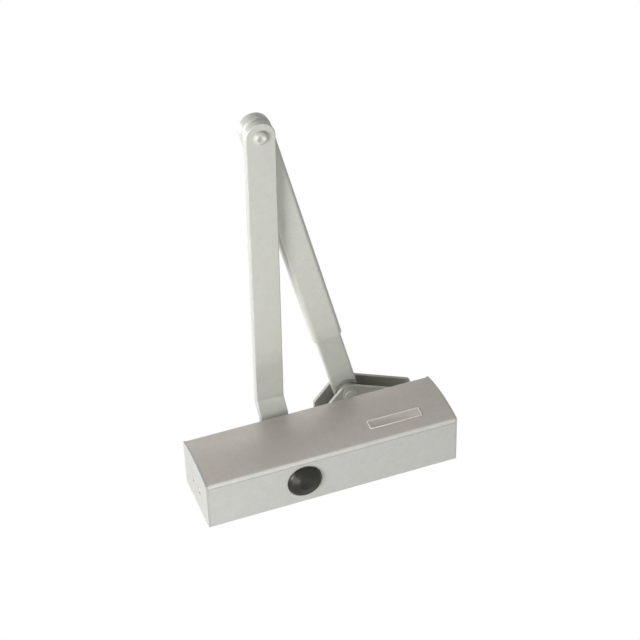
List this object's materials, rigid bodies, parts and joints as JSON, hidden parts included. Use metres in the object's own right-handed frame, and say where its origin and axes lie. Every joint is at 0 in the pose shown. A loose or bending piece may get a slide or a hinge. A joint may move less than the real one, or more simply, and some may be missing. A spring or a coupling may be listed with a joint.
{
  "type": "scissor-arm door closer",
  "caption": "Surface-mounted hydraulic door closer: a long body with a spring-loaded rack and pinion turns a jointed, length-adjustable arm that ends in a pivoting fixing bracket.",
  "frame": {"origin": "centre of the rectangle of four fixing holes of the body, in the plane of its mounting face", "axes": "+Y points from the mounting face into the door or frame, +Z is parallel to the spindle, from the capped side towards the arms, +X runs along the body towards the spring end"},
  "size_m": [0.2271, 0.3237, 0.114],
  "materials": {
    "body_silver": "satin silver paint on a cast body",
    "cover_silver": "fine-grained silver-grey paint",
    "end_silver": "bright satin silver",
    "cap_black": "satin black moulded plastic",
    "arm_silver": "satin silver paint on pressed steel",
    "bracket_silver": "satin silver-grey paint on folded steel",
    "steel": "turned and zinc plated",
    "piston_iron": "machined",
    "spring_steel": "dark coiled wire",
    "bronze": "plain turned bearing bronze",
    "seal_rubber": "moulded",
    "bush_plastic": "moulded grey plastic"
  },
  "bodies": {
    "closer_body": {"housing": "body_silver", "front_cover": "cover_silver", "end_cap_left": "end_silver", "end_cap_right": "end_silver", "spindle_cap": "cap_black", "cylinder_plug": "steel", "plug_seal": "seal_rubber", "bearing_lower": "bronze", "bearing_upper": "bronze", "bearing_cap_lower": "steel", "bearing_cap_upper": "steel", "shaft_seal_lower": "seal_rubber", "shaft_seal_upper": "seal_rubber", "thrust_washer_lower": "bronze", "thrust_washer_upper": "bronze", "spring_outer": "spring_steel", "spring_inner": "spring_steel"},
    "spindle": {"pinion_spindle": "steel", "main_arm": "arm_silver", "arm_screw": "steel", "arm_washer": "steel", "knee_rivet": "arm_silver", "knee_washer": "steel"},
    "piston": {"piston": "piston_iron", "check_disc": "steel", "check_retainer": "steel"},
    "forearm": {"forearm_sleeve": "arm_silver", "clamp_stud": "steel", "clamp_washer": "steel", "clamp_nut": "steel"},
    "rod": {"forearm_rod": "arm_silver", "pivot_bush_near": "bush_plastic", "pivot_bush_far": "bush_plastic"},
    "bracket": {"bracket": "bracket_silver", "bracket_pin": "steel"},
    "closing_valve": {"closing_valve": "steel", "closing_valve_seal": "seal_rubber"},
    "latching_valve": {"latching_valve": "steel", "latching_valve_seal": "seal_rubber"}
  },
  "joints": [
    {"name": "spindle_turn", "type": "hinge", "parent": "closer_body", "child": "spindle", "pos_m": [-0.027, -0.02265, 0], "axis": [0, 0, 1], "range_deg": [0, 150], "stiffness_Nm_per_rad": 6, "springref_deg": -171.89},
    {"name": "piston_slide", "type": "slide", "parent": "closer_body", "child": "piston", "axis": [1, 0, 0], "range_m": [0, 0.0212], "deforming": ["spring_outer", "spring_inner"]},
    {"name": "knee_turn", "type": "hinge", "parent": "spindle", "child": "forearm", "pos_m": [-0.02233, -0.31051, 0], "axis": [0, 0, 1], "range_deg": [-170, 2]},
    {"name": "forearm_adjust", "type": "slide", "parent": "forearm", "child": "rod", "axis": [0.2402, 0.9707, 0], "range_m": [-0.02, 0.05]},
    {"name": "bracket_turn", "type": "hinge", "parent": "rod", "child": "bracket", "pos_m": [0.04779, -0.0272, 0], "axis": [0, 0, 1], "range_deg": [-110, 90]},
    {"name": "closing_valve_turn", "type": "hinge", "parent": "closer_body", "child": "closing_valve", "pos_m": [-0.1, -0.02265, 0.009], "axis": [1, 0, 0], "range_deg": [-360, 360]},
    {"name": "latching_valve_turn", "type": "hinge", "parent": "closer_body", "child": "latching_valve", "pos_m": [-0.1, -0.02265, -0.009], "axis": [1, 0, 0], "range_deg": [-360, 360]}
  ],
  "couplings": [
    {"joint": "piston_slide", "follows": "spindle_turn", "m_per_rad": 0.008}
  ]
}
